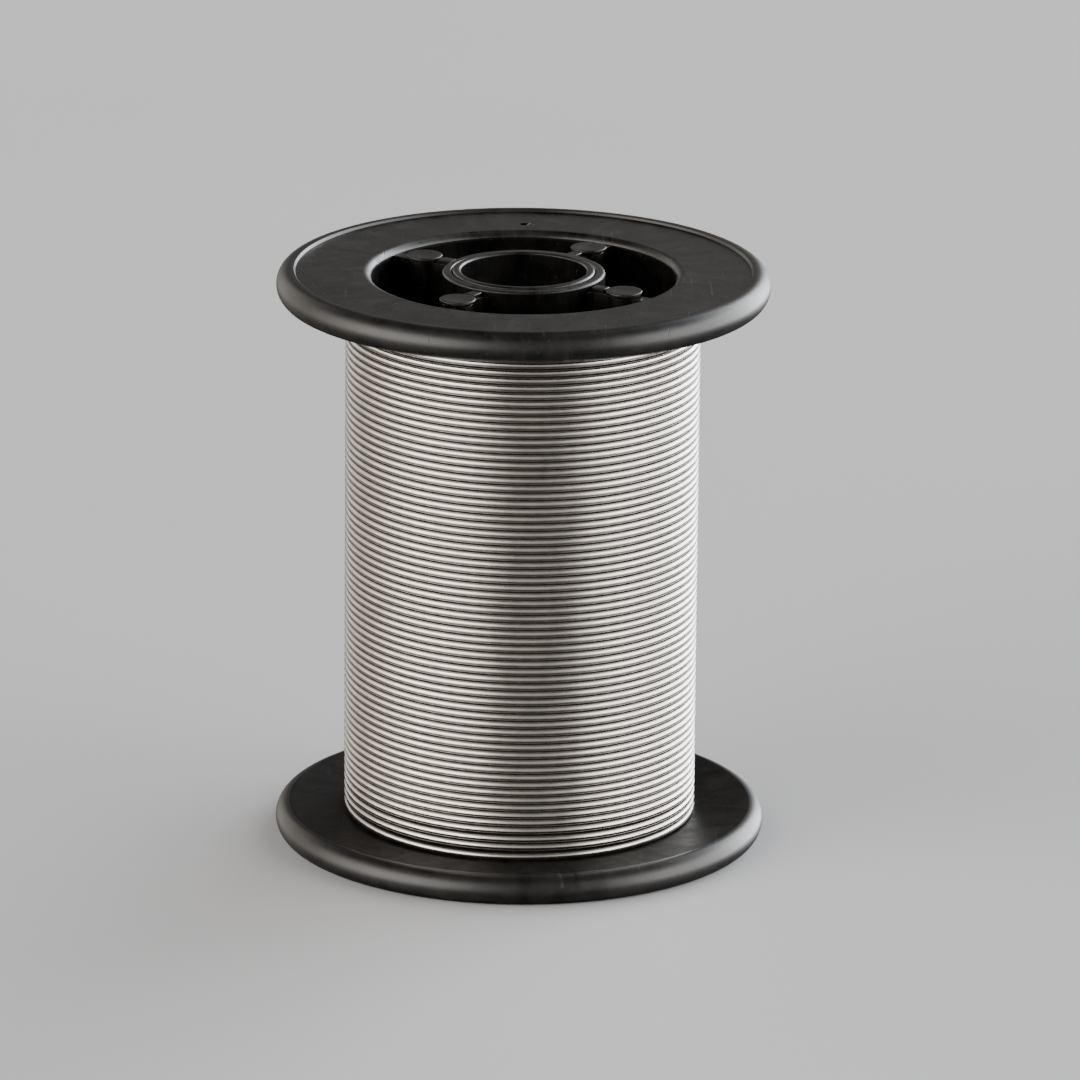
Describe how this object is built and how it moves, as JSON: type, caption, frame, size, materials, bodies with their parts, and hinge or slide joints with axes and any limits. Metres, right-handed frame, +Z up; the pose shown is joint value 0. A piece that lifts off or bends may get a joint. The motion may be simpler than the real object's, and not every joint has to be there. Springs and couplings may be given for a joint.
{
  "type": "solder wire spool",
  "caption": "Upright spool with bead-rimmed flanges, an open ribbed hub and a round bore, close-wound with solder wire.",
  "frame": {"origin": "on the spool's axis, at the plane the lower flange's rim stands on", "axes": "+Z up along the spool's axis; the tie pins stand at 57, 147, 237 and 327 degrees from +X, counter-clockwise seen from above"},
  "size_m": [0.063, 0.063, 0.0752],
  "materials": {
    "black_plastic": "satin black moulded plastic with fine flow marks and handling scuffs",
    "pin_plastic": "satin black plastic, heads a little duller than the flanges",
    "solder": "bright drawn tin alloy, lightly oxidised"
  },
  "bodies": {
    "root": {"upper_flange": "black_plastic", "lower_flange": "black_plastic", "barrel": "black_plastic", "arbor_tube": "black_plastic", "upper_bore_bush": "black_plastic", "lower_bore_bush": "black_plastic", "rib_1": "black_plastic", "rib_2": "black_plastic", "rib_3": "black_plastic", "rib_4": "black_plastic", "tie_pin_1": "pin_plastic", "tie_pin_2": "pin_plastic", "tie_pin_3": "pin_plastic", "tie_pin_4": "pin_plastic", "solder_winding": "solder", "wire_start": "solder", "wire_end": "solder"}
  },
  "joints": []
}
